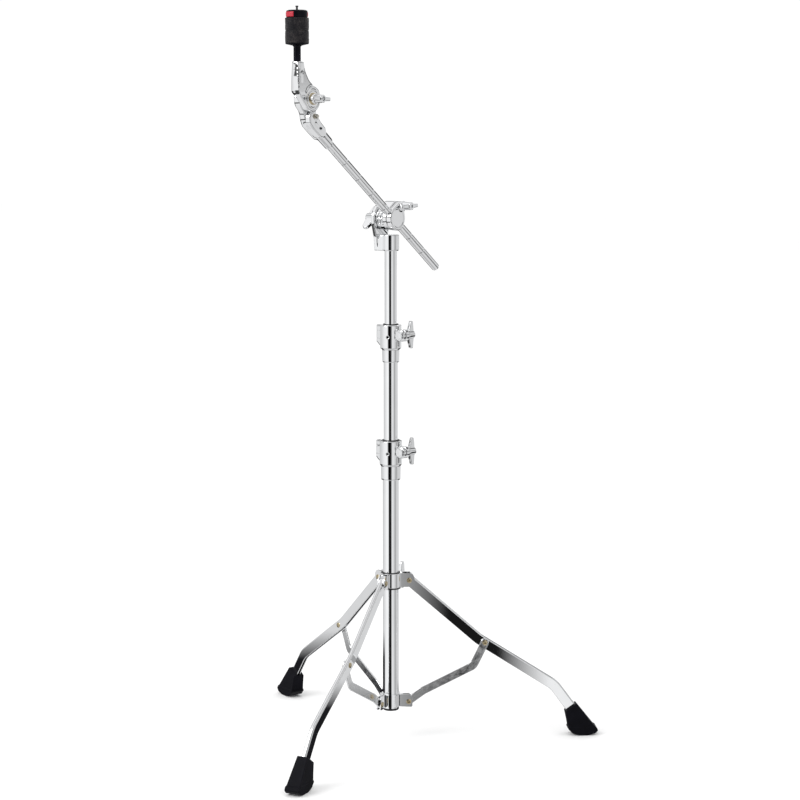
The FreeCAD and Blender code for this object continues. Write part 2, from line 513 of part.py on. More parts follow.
wedge = Part.Face(poly2([(-22.0, SOCK_Z0), (-3.0, SOCK_Z0), (-3.0, SOCK_Z1 - 1.0), (-12.6, SOCK_Z1 - 0.6), (-15.6, 785.0), (-16.6, 786.0), (-16.6, 806.0), (-22.0, 806.0)], [1.0, 0, 0, 1.0, 0.6, 0.5, 0, 0])).extrude(V(0, 0, 25.2))
# (x, y, z) -> (z, x, y)
m = FreeCAD.Matrix(0, 0, 1, -12.6, 1, 0, 0, 0, 0, 1, 0, 0, 0, 0, 0, 1)
wedge.transformShape(m)
wedge = wedge.common(box(-12.6, 12.6, -30, -6.0, SOCK_Z0, 815))
hold = fuse(sock, cap, pl, wedge)
hold = cut(hold, cyl(TOP_R, TOP_Z1 - 700, (0, 0, 700)))
hold = fillet(hold, 1.1, lambda e: e.BoundBox.ZMin > 806 and e.BoundBox.YLength < 0.05)
hold = cut(hold, cyl(4.0 + RUN, 40, (0, -30, PIV_Z), (0, 1, 0)))
add("boom_holder", hold)

# inner clamp half: round body seated on the plate, pivot stud behind
V_IN0, V_SPLIT, V_OUT = -15.5, ROD_V, 14.4
inn = plate_face(hull2((0, 0), 17.9, (CL_A, CL_P), 7.2), V_IN0, V_SPLIT - 0.5)
inn = fillet(inn, 1.6, lambda e: e.BoundBox.YLength < 0.05 and e.BoundBox.YMin < V_IN0 + 0.1)
stud = cyl(4.0, 45.0, (0, -46.5, PIV_Z), (0, 1, 0))
inn = fuse(inn, stud)
rodhole = cyl(ROD_R + RUN, 120, ap(-60, 0, ROD_V), (A.x, 0, A.z))
bolt_hole = cyl(3.1, 60, ap(CL_A, CL_P, -20), (0, 1, 0))
lock = cyl(1.7, 12, ap(-12, -9, -14 + 6), (0, 1, 0))
pocket = fillet(box(10.5, 26.0, -12.6, -3.6, PIV_Z - 9.5, PIV_Z + 8.5), 1.4, lambda e: e.BoundBox.XLength > 5)
pocket = pocket.cut(box(8, 30, -8.9, -7.5, 800, 840)).cut(box(8, 30, -20, 0, PIV_Z - 1.4, PIV_Z))
inn = cut(inn, rodhole, bolt_hole, pocket)
add("boom_clamp_inner", inn)
outh = plate_face(hull2((0, 0), 18.7, (CL_A, CL_P), 7.2), V_SPLIT + 0.5, V_OUT)
outh = fillet(outh, 1.8, lambda e: e.BoundBox.YLength < 0.05 and e.BoundBox.YMax > V_OUT - 0.1)
bossb = cyl(6.9, 2.2, ap(CL_A, CL_P, V_OUT - 0.2), (0, 1, 0))
outh = fuse(outh, bossb)
outh = cut(outh, cyl(14.6, 2.0, (0, V_OUT - 0.6, PIV_Z), (0, 1, 0)).cut(cyl(8.6, 6.0, (ap(CL_A, CL_P)[0], V_OUT - 3, ap(CL_A, CL_P)[2]), (0, 1, 0))))
outh = cut(outh, rodhole, bolt_hole)
add("boom_clamp_outer", outh)
cb = fuse(cyl(3.0, 46.0, ap(CL_A, CL_P, V_IN0 + 1.0), (0, 1, 0)), fillet(cyl(5.6, 3.4, ap(CL_A, CL_P, V_IN0 - 0.0), (0, 1, 0)), 0.6, lambda e: True))
inn2 = NODES.pop("boom_clamp_inner")
NODES["boom_clamp_inner"] = tidy(inn2.cut(cyl(5.7, 3.6, (ap(CL_A, CL_P)[0] + SHIFT_X, V_IN0 - 0.1 + SHIFT_Y, ap(CL_A, CL_P)[2]), (0, 1, 0))))
add("boom_clamp_bolt", cb)
# wing nuts: one on the clamp bolt, one on the pivot stud behind the plate
WN_L = 17.6
q = ap(CL_A, CL_P, V_OUT + 2.3)
wn = wing_nut(6.3, WN_L, 20.6, 9.0, 15.4, 3.0, 15.8, 5.8, 3.0 + RUN, depth=WN_L - 3.5)
cw = (math.cos(math.radians(-2)), 0, math.sin(math.radians(-2)))
add("boom_clamp_wing_nut", frame(wn, q, (0, 1, 0), cw))
tw = wing_nut(6.9, 20.6, 22.6, 9.6, 18.6, 2.6, 18.8, 6.4, 4.0 + RUN, depth=20.6 - 3.0)
add("boom_tilt_washer", frame(revolve([(4.06, 0), (9.6, 0), (9.6, 1.3), (4.06, 1.3)], 0), (0, PL0, PIV_Z), (0, -1, 0), (1, 0, 0)))
stud_end = -46.5
tw2 = frame(tw, (0, PL0 - 1.65, PIV_Z), (0, -1, 0), (math.cos(math.radians(-45)), 0, math.sin(math.radians(-45))))
add("boom_tilt_wing_nut", tw2)
# shorten the stud so that it ends inside the nut
inn3 = NODES["boom_clamp_inner"]
inn3 = inn3.cut(box(-9 + SHIFT_X, 9 + SHIFT_X, -60 + SHIFT_Y, PL0 - 1.5 - 17.0 + SHIFT_Y, PIV_Z - 9, PIV_Z + 9))
NODES["boom_clamp_inner"] = tidy(inn3)
cb3 = NODES["boom_clamp_bolt"]
cb3 = cb3.cut(box(q[0] - 9 + SHIFT_X, q[0] + 9 + SHIFT_X, V_OUT + 2.3 + 13.0 + SHIFT_Y, 90 + SHIFT_Y, q[2] - 9, q[2] + 9))
NODES["boom_clamp_bolt"] = tidy(cb3)

# boom rod with turned rings and a keyway near its upper end
L = ROD_T1 - ROD_T0
prof = [(0, 0), (ROD_R - 1.6, 0), (ROD_R - 0.45, 0.5), (ROD_R, 1.8)]
zz = sorted([g - ROD_T0 for g in GROOVES])
for z in zz:
    prof += [(ROD_R, z - 1.0), (ROD_R - 0.45, z - 0.45), (ROD_R - 0.45, z + 0.45), (ROD_R, z + 1.0)]
prof += [(ROD_R, L - 1.0), (ROD_R - 1.0, L), (0, L)]
rod = revolve(prof, 0)
key = box(-1.0, 1.0, -ROD_R - 1, -ROD_R + 1.1, 181.5 - ROD_T0, L + 1)
key = fillet(key, 0.9, lambda e: e.BoundBox.ZLength < 0.05 and e.BoundBox.ZMin < 200 + 181 and e.BoundBox.XLength < 0.01)
rod = cut(rod, key)
# local z -> A, local -y -> key direction (down and a little to +v)
kd = Pp * -0.86 + V(0, 1, 0) * 0.51; kd.normalize()
yl = kd * -1
xl = yl.cross(A)
o = ap(ROD_T0, 0, ROD_V)
m = FreeCAD.Matrix(xl.x, yl.x, A.x, o[0], xl.y, yl.y, A.y, o[1], xl.z, yl.z, A.z, o[2], 0, 0, 0, 1)
rod.transformShape(m)
add("boom_rod", rod)

# ---------------------------------------------------------------- cymbal tilter
TV0, TVM, TV1 = -6.4, 4.5, 15.4      # lower casting disc, joint plane, upper arm disc
def fil_uz(pts, rad, v0, v1):
    return xz(Part.Face(poly2(pts, rad)), v0, v1)

TPA = (TP_U) * A.x + (TP_Z - PIV_Z) * A.z
TPP = (TP_U) * Pp.x + (TP_Z - PIV_Z) * Pp.z
# lower casting: disc on the -v side, tapered body down to a split socket on the rod
disc_l = cyl(18.6, TVM - 0.15 - TV0, (TP_U, TV0, TP_Z), (0, 1, 0))
disc_l = fillet(disc_l, 1.5, lambda e: e.BoundBox.YMax < TV0 + 0.05)
sleeve = Part.makeCone(8.2, 9.2, 56.0, V(*ap(194.0, 0, ROD_V)), A)
nose = plate([(190, -14), (192.2, -14), (206.5, 14), (190, 14)], 0, ROD_V - 14, ROD_V + 14)
sleeve = sleeve.cut(nose)
ball = Part.makeSphere(9.0, V(*ap(250.0, 0, ROD_V)))
ball.rotate(V(*ap(250.0, 0, ROD_V)), V(0, 1, 0), 90)
neck = plate_face(Part.Face(poly2([(214.0, -8.0), (240.0, -9.0), (255.0, -8.8), (264.0, -3.8), (272.0, 3.4), (283.0, 6.0), (TPA + 10.0, TPP), (TPA - 12.0, TPP + 8.0), (258.0, 18.0), (250.0, 12.0), (238.0, 9.4), (216.0, 8.4)],
                      [10, 30, 16, 16, 16, 8, 6, 6, 6, 10, 14, 14])), TV0 + 0.4, TVM - 0.15)
neck = fillet(neck, 2.2, lambda e: e.BoundBox.YLength < 0.05 and e.BoundBox.YMax < TV0 + 1)
cheek = plate_face(Part.Face(poly2([(220.0, -8.7), (248.0, -9.2), (260.0, -7.0), (267.0, 2.0), (264.0, 15.0), (257.0, 18.0), (249.5, 11.6), (238.0, 9.4), (220.0, 8.9)], [10, 16, 8, 8, 3, 3, 8, 20, 10])), TVM - 4, TVM + 8.6)
cheek = fillet(cheek, 2.0, lambda e: e.BoundBox.YLength < 0.05 and e.BoundBox.YMax > TVM + 8)
low = fuse(disc_l, sleeve, ball, neck, cheek)
# keep the joint plane clear for the upper arm's disc
low = cut(low, cyl(19.6, 20, (TP_U, TVM - 0.15, TP_Z), (0, 1, 0)))
low = cut(low, cyl(ROD_R, ROD_T1 - 180.0, ap(180, 0, ROD_V), (A.x, 0, A.z)))
# split and its key bolt
slit = plate([(226.0, 5.0), (262.0, 5.0), (262.0, 24.0), (226.0, 24.0)], 0, TVM + 1.0, TVM + 2.2)
low = cut(low, slit)
low = cut(low, cyl(4.0 + RUN, 60, (TP_U, -20, TP_Z), (0, 1, 0)))
KB = ap(255.4, 8.6)                    # key bolt, square headed, across the split
kb_head = fuse(cyl(3.6, 1.6, (KB[0], TVM + 6.2, KB[2]), (0, 1, 0)), frame(box(-2.1, 2.1, -2.1, 2.1, 0, 5.2), (KB[0], TVM + 7.6, KB[2]), (0, 1, 0), (A.x, 0, A.z)))
rec = plate([(250.2, 3.6), (260.6, 3.6), (260.6, 30.0), (250.2, 30.0)], [5.0, 5.0, 0, 0], TVM + 6.0, TVM + 20)
low = cut(low, rec, cyl(2.5, 20, (KB[0], TV0 + 5, KB[2]), (0, 1, 0)))
kb_bolt = fuse(kb_head, cyl(2.5, TVM + 6.4 - (TV0 + 5), (KB[0], TV0 + 5, KB[2]), (0, 1, 0)))
PIN = ap(236.0, 1.0)
low = cut(low, cyl(1.5, 30, (PIN[0], ROD_V + 3, PIN[2]), (0, 1, 0)))
low_s = tidy(low)
if len(low_s.Solids) > 1:
    low_s = max(low_s.Solids, key=lambda s: s.Volume)
add("tilter_lower_casting", low_s)
add("tilter_key_bolt", kb_bolt)
add("tilter_roll_pin", cut(cyl(1.5, 1.9 + 2.6, (PIN[0], ROD_V + 6.0, PIN[2]), (0, 1, 0)).cut(low_s), cyl(0.8, 30, (PIN[0], ROD_V, PIN[2]), (0, 1, 0)), cyl(ROD_R, 60, ap(200, 0, ROD_V), (A.x, 0, A.z))))

# upper arm: disc on the +v side, swept up into the socket of the cymbal rod
disc_u = cyl(18.6, TV1 - TVM - 0.15, (TP_U, TVM + 0.15, TP_Z), (0, 1, 0))
disc_u = fillet(disc_u, 1.6, lambda e: e.BoundBox.YMin > TV1 - 0.05)
ringg = cut(cyl(14.2, 1.6, (TP_U, TV1 - 0.8, TP_Z), (0, 1, 0)), cyl(12.2, 4.0, (TP_U, TV1 - 2, TP_Z), (0, 1, 0)))
ARM_TOP = 1051.8
arm = fil_uz([(CR_U - 7.2, ARM_TOP - 1), (CR_U + 6.6, ARM_TOP - 1), (CR_U + 8.6, 1030), (CR_U + 9.4, 1012), (CR_U + 6.6, 1003.5), (TP_U + 16.0, 989.0), (TP_U + 4.0, 985.0), (TP_U - 8.0, 1000.0),
              (TP_U - 3.0, 1018.2), (CR_U - 16.5, 1025), (CR_U - 10.4, 1036)], [0, 0, 30, 8, 6, 8, 6, 6, 12, 14, 30], TVM + 0.15, TV1 - 0.4)
# the arm's front face runs back from the disc into the round of the socket
taper = Part.Face(poly2([(-7.0, 960), (TV1 - 0.2, 960), (TV1 - 0.2, 1004), (ROD_V + 7.0, 1042), (ROD_V + 6.6, 1060), (-7.0, 1060)], [0, 0, 40, 30, 0, 0])).extrude(V(0, 0, 90))
taper.transformShape(FreeCAD.Matrix(0, 0, 1, TP_U - 40, 1, 0, 0, 0, 0, 1, 0, 0, 0, 0, 0, 1))
arm = arm.common(taper)
sockc = revolve([(0, 1006), (9.2, 1006), (8.9, 1024), (7.3, 1050.4), (6.7, ARM_TOP), (0, ARM_TOP)], [0, 5, 8, 0.6, 0.4, 0])
sockc.translate(V(CR_U, ROD_V, 0))
sph = Part.makeSphere(8.6, V(CR_U, ROD_V, 1011.0))
up = fuse(disc_u, arm, sockc, sph)
up = fillet(up, 1.6, lambda e: e.BoundBox.YLength < 0.05 and e.BoundBox.YMax > TV1 - 0.1)
# clear of the lower casting's disc
up = cut(up, cyl(19.6, 30.15, (TP_U, TVM - 30, TP_Z), (0, 1, 0)))
up = cut(up, ringg)
up = cut(up, cyl(4.0 + RUN, 60, (TP_U, -20, TP_Z), (0, 1, 0)))
up = cut(up, cyl(4.0, 60, (CR_U, ROD_V, 1020)))
ss = (CR_U, ROD_V, 1037.0)
up = cut(up, cyl(2.0, 20, ss, (-0.26, 0.966, 0)))
up_s = tidy(up)
if len(up_s.Solids) > 1:
    up_s = max(up_s.Solids, key=lambda s: s.Volume)
add("tilter_upper_arm", up_s)
scr = cyl(2.0, 3.4, (CR_U - 0.26 * 4.0, ROD_V + 0.966 * 4.0, 1037.0), (-0.26, 0.966, 0))
scr = cut(scr, cyl(1.0, 3, (CR_U - 0.26 * 6.0, ROD_V + 0.966 * 6.0, 1037.0), (-0.26, 0.966, 0)), cyl(4.0, 60, (CR_U, ROD_V, 1020)))
add("tilter_set_screw", scr)
# pivot bolt: head behind the lower casting, shank through both discs
pb = revolve([(0, 0), (8.2, 0), (8.2, 1.6), (7.0, 2.8), (0, 3.2)], 0)
pb = frame(pb, (TP_U, TV0, TP_Z), (0, -1, 0), (1, 0, 0))
pb = fuse(pb, cyl(4.0, TV1 + 14.0 - TV0, (TP_U, TV0, TP_Z), (0, 1, 0)))
add("tilter_pivot_bolt", pb)
add("tilter_washer", frame(revolve([(4.0, 0), (8.6, 0), (8.6, 1.3), (4.0, 1.3)], 0), (TP_U, TV1, TP_Z), (0, 1, 0), (1, 0, 0)))
tn = wing_nut(6.2, 17.6, 20.6, 9.0, 15.4, 3.0, 15.8, 5.8, 4.0 + RUN, depth=17.6 - 3.8)
add("tilter_wing_nut", frame(tn, (TP_U, TV1 + 1.45, TP_Z), (0, 1, 0), (math.cos(math.radians(2)), 0, math.sin(math.radians(2)))))

# cymbal rod, sleeve, felts
def at_rod(s):
    s = s.copy(); s.translate(V(CR_U, ROD_V, 0)); return s
crod = revolve([(0, 1021.0), (3.2, 1021.0), (4.0, 1022.0), (4.0, 1119.4), (3.2, 1120.6), (1.55, 1121.6), (1.55, 1127.6), (2.2, 1127.9), (2.2, 1129.2), (1.8, TIP_Z), (0, TIP_Z)], 0)
add("cymbal_rod", at_rod(crod))
slv = revolve([(4.0, ARM_TOP), (5.25, ARM_TOP), (5.25, 1072.0), (6.6, 1073.4), (16.4, 1075.6), (16.9, 1076.85), (5.6, 1076.85), (5.3, 1077.6), (5.3, 1110.6), (4.9, 1111.2), (4.0, 1111.2)], 0)
add("cymbal_sleeve", at_rod(slv))
def felt(z0, z1):
    return revolve([(5.55, z0), (FELT_R, z0), (FELT_R, z1), (5.55, z1)], [0.6, 1.6, 1.6, 0.6])
add("felt_lower", at_rod(felt(FELT_Z0, FELT_ZM)))
add("felt_upper", at_rod(felt(FELT_ZM + 0.3, MATE_Z0 - 0.35)))

# quick-release mate: body, latch plates and two press buttons with springs
mb = revolve([(0, MATE_Z0), (15.0, MATE_Z0), (MATE_R, MATE_Z0 + 0.4), (MATE_R, MATE_Z1 - 1.9), (14.9, MATE_Z1 - 1.2), (12.6, MATE_Z1 - 0.2), (12.0, MATE_Z1), (0, MATE_Z1)], 0)
MB_A = -20.0                            # heading of the front button
HB = 9.6                                # half-width of a button
mb = cut(mb, box(-20, -8.2, -HB - 0.35, HB + 0.35, MATE_Z0 + 0.5, MATE_Z0 + 8.7), box(8.2, 20, -HB - 0.35, HB + 0.35, MATE_Z0 + 0.5, MATE_Z0 + 8.7))
mb = cut(mb, cyl(4.0 + 0.2, MATE_Z1 - MATE_Z0 - 1.9, (0, 0, MATE_Z0 - 0.1)), cyl(1.55 + 0.85, 20, (0, 0, MATE_Z0)))
add("mate_body", at_rod(rotz(mb, MB_A)))
def button(sgn):
    b = revolve([(0, MATE_Z0 + 0.85), (15.3, MATE_Z0 + 0.85), (15.9, MATE_Z0 + 2.0), (15.9, MATE_Z0 + 6.9), (15.0, MATE_Z0 + 8.35), (0, MATE_Z0 + 8.35)], [0, 0.5, 0.5, 1.5, 0.6, 0])
    b = b.common(box(11.3, 20, -HB, HB, 0, 2000))
    b = fillet(b, 1.6, lambda e: e.BoundBox.ZLength > 3 and e.BoundBox.XMin > 11.5)
    b = cut(b, cyl(1.9, 2.2, (11.2, -4.6, MATE_Z0 + 4.7), (1, 0, 0)), cyl(1.9, 2.2, (11.2, 4.6, MATE_Z0 + 4.7), (1, 0, 0)))
    return rotz(b, MB_A + (0 if sgn > 0 else 180))
add("mate_button_front", at_rod(button(1)))
add("mate_button_back", at_rod(button(-1)))
for nm, sg in (("front", 1), ("back", -1)):
    sp = []
    for yy in (-4.6, 4.6):
        sp.append(cut(cyl(1.45, 5.0, (8.25, yy, MATE_Z0 + 4.7), (1, 0, 0)), cyl(0.95, 7, (7.5, yy, MATE_Z0 + 4.7), (1, 0, 0))))
    add("mate_springs_" + nm, at_rod(rotz(Part.makeCompound(sp), MB_A + (0 if sg > 0 else 180))))

# ---------------------------------------------------------------- export
bb = FreeCAD.BoundBox()
for k in sorted(NODES):
    s = NODES[k]
    bb.add(s.BoundBox)
    bad = [] if s.isValid() else ["INVALID"]
    print("%-26s solids %d vol %10.1f  x %8.2f %8.2f  y %8.2f %8.2f  z %8.2f %8.2f %s" % (
        k, len(s.Solids), s.Volume, s.BoundBox.XMin, s.BoundBox.XMax, s.BoundBox.YMin, s.BoundBox.YMax, s.BoundBox.ZMin, s.BoundBox.ZMax, " ".join(bad)))
    s.exportStep("parts/" + k + ".step")
print("nodes", len(NODES), "bbox", bb, "centre", bb.Center)
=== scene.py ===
import bpy
import bmesh
import math
import random
from mathutils import Vector, Matrix, noise


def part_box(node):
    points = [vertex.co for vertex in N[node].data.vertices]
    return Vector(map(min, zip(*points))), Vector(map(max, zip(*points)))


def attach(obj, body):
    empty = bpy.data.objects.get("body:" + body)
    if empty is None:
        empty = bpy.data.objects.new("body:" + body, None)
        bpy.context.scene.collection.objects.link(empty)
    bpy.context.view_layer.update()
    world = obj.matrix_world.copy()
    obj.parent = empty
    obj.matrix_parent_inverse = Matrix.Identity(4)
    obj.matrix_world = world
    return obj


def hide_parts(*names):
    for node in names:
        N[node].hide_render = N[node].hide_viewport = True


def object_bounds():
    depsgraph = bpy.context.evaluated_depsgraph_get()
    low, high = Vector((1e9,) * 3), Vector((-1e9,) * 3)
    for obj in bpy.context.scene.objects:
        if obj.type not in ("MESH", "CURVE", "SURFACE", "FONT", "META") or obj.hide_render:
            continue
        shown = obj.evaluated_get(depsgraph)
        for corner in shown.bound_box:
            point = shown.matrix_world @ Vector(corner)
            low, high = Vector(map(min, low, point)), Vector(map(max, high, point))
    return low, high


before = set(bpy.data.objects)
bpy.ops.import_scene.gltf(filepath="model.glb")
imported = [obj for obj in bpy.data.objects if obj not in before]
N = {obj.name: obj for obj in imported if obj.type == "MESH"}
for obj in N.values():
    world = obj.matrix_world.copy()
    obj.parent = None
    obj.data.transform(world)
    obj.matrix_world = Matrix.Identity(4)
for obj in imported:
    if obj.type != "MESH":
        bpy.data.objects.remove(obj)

cad_lo, cad_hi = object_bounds()
random.seed(7)

# ------------------------------------------------------------------ helpers
def new_mat(name):
    m = bpy.data.materials.new(name)
    m.use_nodes = True
    nt = m.node_tree
    nt.nodes.clear()
    out = nt.nodes.new("ShaderNodeOutputMaterial")
    b = nt.nodes.new("ShaderNodeBsdfPrincipled")
    nt.links.new(b.outputs["BSDF"], out.inputs["Surface"])
    return m, nt, b

def coords(nt):
    t = nt.nodes.new("ShaderNodeTexCoord")
    return t.outputs["Object"]

def noise_tex(nt, vec, scale, detail=3.0, rough=0.5, stretch=None):
    n = nt.nodes.new("ShaderNodeTexNoise")
    n.inputs["Scale"].default_value = scale
    n.inputs["Detail"].default_value = detail
    n.inputs["Roughness"].default_value = rough
    if stretch:
        mp = nt.nodes.new("ShaderNodeMapping")
        mp.inputs["Scale"].default_value = stretch
        nt.links.new(vec, mp.inputs["Vector"])
        vec = mp.outputs["Vector"]
    nt.links.new(vec, n.inputs["Vector"])
    return n.outputs["Fac"]

def ramp(nt, fac, stops):
    r = nt.nodes.new("ShaderNodeValToRGB")
    e = r.color_ramp.elements
    while len(e) < len(stops):
        e.new(0.5)
    for k, (p, c) in zip(e, stops):
        k.position = p
        k.color = (c, c, c, 1) if not isinstance(c, tuple) else (*c, 1)
    nt.links.new(fac, r.inputs["Fac"])
    return r.outputs["Color"]

def maprange(nt, fac, lo, hi, a, b):
    m = nt.nodes.new("ShaderNodeMapRange")
    for k, v in zip(("From Min", "From Max", "To Min", "To Max"), (lo, hi, a, b)):
        m.inputs[k].default_value = v
    nt.links.new(fac, m.inputs["Value"])
    return m.outputs["Result"]

def bump(nt, b, height, strength, dist):
    n = nt.nodes.new("ShaderNodeBump")
    n.inputs["Strength"].default_value = strength
    n.inputs["Distance"].default_value = dist
    nt.links.new(height, n.inputs["Height"])
    nt.links.new(n.outputs["Normal"], b.inputs["Normal"])

def chrome(name, tint, rough, cast=False):
    m, nt, b = new_mat(name)
    v = coords(nt)
    b.inputs["Metallic"].default_value = 1.0
    f = noise_tex(nt, v, 38.0, 4.0, 0.55)
    c1 = tuple(x * 0.965 for x in tint)
    nt.links.new(ramp(nt, f, [(0.3, c1), (0.7, tint)]), b.inputs["Base Color"])
    nt.links.new(maprange(nt, noise_tex(nt, v, 120.0, 5.0, 0.6), 0.3, 0.75, rough * 0.6, rough * 1.7), b.inputs["Roughness"])
    # plating over a polished tube is almost flat; over a casting it has a faint orange peel
    bump(nt, b, noise_tex(nt, v, 260.0 if cast else 900.0, 2.0), 0.03 if cast else 0.015, 0.0002 if cast else 0.0001)
    return m

M = {}
M["chrome"] = chrome("chrome_tube", (0.93, 0.935, 0.94), 0.022)
M["chrome_cast"] = chrome("chrome_casting", (0.90, 0.905, 0.91), 0.035, 0.0022)
M["chrome_arm"] = chrome("chrome_arm", (0.90, 0.905, 0.91), 0.03, 0.0055)
M["chrome_leg"] = chrome("chrome_pressed", (0.93, 0.935, 0.94), 0.010)
M["chrome_strap"] = chrome("chrome_strap", (0.93, 0.935, 0.94), 0.10)

def steel(name, tint, rough):
    m, nt, b = new_mat(name)
    v = coords(nt)
    b.inputs["Metallic"].default_value = 1.0
    nt.links.new(ramp(nt, noise_tex(nt, v, 500.0, 3.0), [(0.3, tuple(x * 0.8 for x in tint)), (0.7, tint)]), b.inputs["Base Color"])
    nt.links.new(maprange(nt, noise_tex(nt, v, 1500.0, 2.0), 0.3, 0.7, rough * 0.7, rough * 1.4), b.inputs["Roughness"])
    bump(nt, b, noise_tex(nt, v, 1800.0, 2.0), 0.15, 0.0002)
    return m
M["steel"] = steel("zinc_steel", (0.70, 0.67, 0.60), 0.26)
M["brass"] = steel("rivet_brass", (0.74, 0.62, 0.40), 0.24)
M["dark_steel"] = steel("dark_steel", (0.12, 0.12, 0.13), 0.35)

def rubber():
    m, nt, b = new_mat("foot_rubber")
    v = coords(nt)
    f = noise_tex(nt, v, 700.0, 6.0, 0.65)
    g = noise_tex(nt, v, 45.0, 3.0, 0.5)
    nt.links.new(ramp(nt, g, [(0.25, (0.0012, 0.0012, 0.003)), (0.8, (0.0035, 0.0035, 0.0075))]), b.inputs["Base Color"])
    nt.links.new(maprange(nt, f, 0.3, 0.7, 0.5, 0.66), b.inputs["Roughness"])
    b.inputs["Specular IOR Level"].default_value = 0.12
    bump(nt, b, f, 0.25, 0.0004)
    return m
M["rubber"] = rubber()

def plastic(name, c0, c1, r0, r1, bs=0.06):
    m, nt, b = new_mat(name)
    v = coords(nt)
    f = noise_tex(nt, v, 1400.0, 3.0)
    nt.links.new(ramp(nt, noise_tex(nt, v, 90.0, 2.0), [(0.3, c0), (0.75, c1)]), b.inputs["Base Color"])
    nt.links.new(maprange(nt, f, 0.3, 0.7, r0, r1), b.inputs["Roughness"])
    bump(nt, b, f, bs, 0.0002)
    return m
M["black"] = plastic("black_nylon", (0.002, 0.002, 0.004), (0.005, 0.005, 0.009), 0.26, 0.38)
M["black"].node_tree.nodes["Principled BSDF"].inputs["Specular IOR Level"].default_value = 0.10
M["red"] = plastic("red_button", (0.42, 0.012, 0.03), (0.52, 0.022, 0.045), 0.25, 0.36)
M["nylon"] = plastic("dark_nylon", (0.012, 0.012, 0.014), (0.022, 0.022, 0.025), 0.35, 0.5, 0.12)

def felt():
    m, nt, b = new_mat("pressed_felt")
    v = coords(nt)
    f1 = noise_tex(nt, v, 420.0, 6.0, 0.75)
    f2 = noise_tex(nt, v, 1700.0, 4.0, 0.7)
    f3 = noise_tex(nt, v, 110.0, 3.0, 0.6)
    mx = nt.nodes.new("ShaderNodeMath"); mx.operation = "MULTIPLY_ADD"
    mx.inputs[1].default_value = 0.55
    nt.links.new(f1, mx.inputs[0])
    sc = nt.nodes.new("ShaderNodeMath"); sc.operation = "MULTIPLY"
    sc.inputs[1].default_value = 0.45
    nt.links.new(f3, sc.inputs[0])
    nt.links.new(sc.outputs[0], mx.inputs[2])
    nt.links.new(ramp(nt, mx.outputs[0], [(0.36, (0.004, 0.004, 0.006)), (0.5, (0.011, 0.010, 0.012)), (0.66, (0.042, 0.037, 0.036))]), b.inputs["Base Color"])
    b.inputs["Roughness"].default_value = 0.95
    b.inputs["Sheen Weight"].default_value = 0.15
    b.inputs["Sheen Roughness"].default_value = 0.5
    b.inputs["Specular IOR Level"].default_value = 0.15
    ad = nt.nodes.new("ShaderNodeMath"); ad.operation = "ADD"
    nt.links.new(f1, ad.inputs[0]); nt.links.new(f2, ad.inputs[1])
    bump(nt, b, ad.outputs[0], 0.9, 0.0006)
    return m
M["felt"] = felt()

def set_mat(o, m):
    if o.data.materials:
        for i in range(len(o.data.materials)):
            o.data.materials[i] = m
    else:
        o.data.materials.append(m)

def pick(n):
    if n.startswith("foot_"): return "rubber"
    if n.startswith("felt"): return "felt"
    if n.startswith("mate_button"): return "red"
    if n in ("mate_body", "cymbal_sleeve"): return "black"
    if "bushing" in n or "glide" in n or "plug" in n or n in ("collar_sleeve", "collar_bolt_pad"): return "nylon"
    if "rivet" in n: return "brass"
    if n in ("lower_clamp_washer", "upper_clamp_washer", "boom_tilt_washer"): return "dark_steel"
    if n in ("tilter_washer",): return "brass"
    if n in ("cymbal_rod", "tilter_roll_pin", "tilter_set_screw", "mate_springs_front", "mate_springs_back"): return "dark_steel"
    if n in ("tilter_key_bolt",): return "steel"
    if n.startswith("leg_") and n != "leg_collar": return "chrome_leg"
    if n.startswith("brace_"): return "chrome_strap"
    if n in ("tilter_lower_casting", "tilter_upper_arm"): return "chrome_arm"
    if n in ("boom_holder", "boom_clamp_inner", "boom_clamp_outer") or "clamp_body" in n or "wing" in n:
        return "chrome_cast"
    return "chrome"
for n, o in N.items():
    set_mat(o, M[pick(n)])

# polished castings: the buffing wheel rolls every edge over, so they are
# re-skinned finely and eased, which leaves the CAD mesh itself as it was
def buffed(name, cell, turns):
    o = N[name]
    r = o.modifiers.new("skin", "REMESH")
    r.mode = "VOXEL"
    r.voxel_size = cell
    r.use_smooth_shade = True
    e = o.modifiers.new("ease", "SMOOTH")
    e.factor = 0.5
    e.iterations = turns
for name, cell, turns in (("tilter_upper_arm", 0.0005, 26), ("tilter_lower_casting", 0.0005, 20), ("boom_holder", 0.0006, 12),
                          ("boom_clamp_inner", 0.0006, 10), ("boom_clamp_outer", 0.0006, 10), ("lower_clamp_body", 0.0006, 8), ("upper_clamp_body", 0.0006, 8)):
    buffed(name, cell, turns)

# ------------------------------------------------------------------ felts
def lathe(name, prof, seg, centre, mat, body, wob=None, smooth=True):
    """Closed ring turned from a closed (r, z) outline; wob(angle, r, z) moves a point."""
    me = bpy.data.meshes.new(name)
    bm = bmesh.new()
    rows = []
    for i in range(seg):
        a = 2 * math.pi * i / seg
        row = []
        for (r, z) in prof:
            dr, dz = wob(a, r, z) if wob else (0, 0)
            row.append(bm.verts.new((centre[0] + (r + dr) * math.cos(a), centre[1] + (r + dr) * math.sin(a), z + dz)))
        rows.append(row)
    n = len(prof)
    for i in range(seg):
        for k in range(n):
            j = (k + 1) % n
            bm.faces.new((rows[i][k], rows[(i + 1) % seg][k], rows[(i + 1) % seg][j], rows[i][j]))
    bmesh.ops.recalc_face_normals(bm, faces=bm.faces)
    for f in bm.faces:
        f.smooth = smooth
    bm.to_mesh(me); bm.free()
    o = bpy.data.objects.new(name, me)
    bpy.context.scene.collection.objects.link(o)
    me.materials.append(mat)
    return o

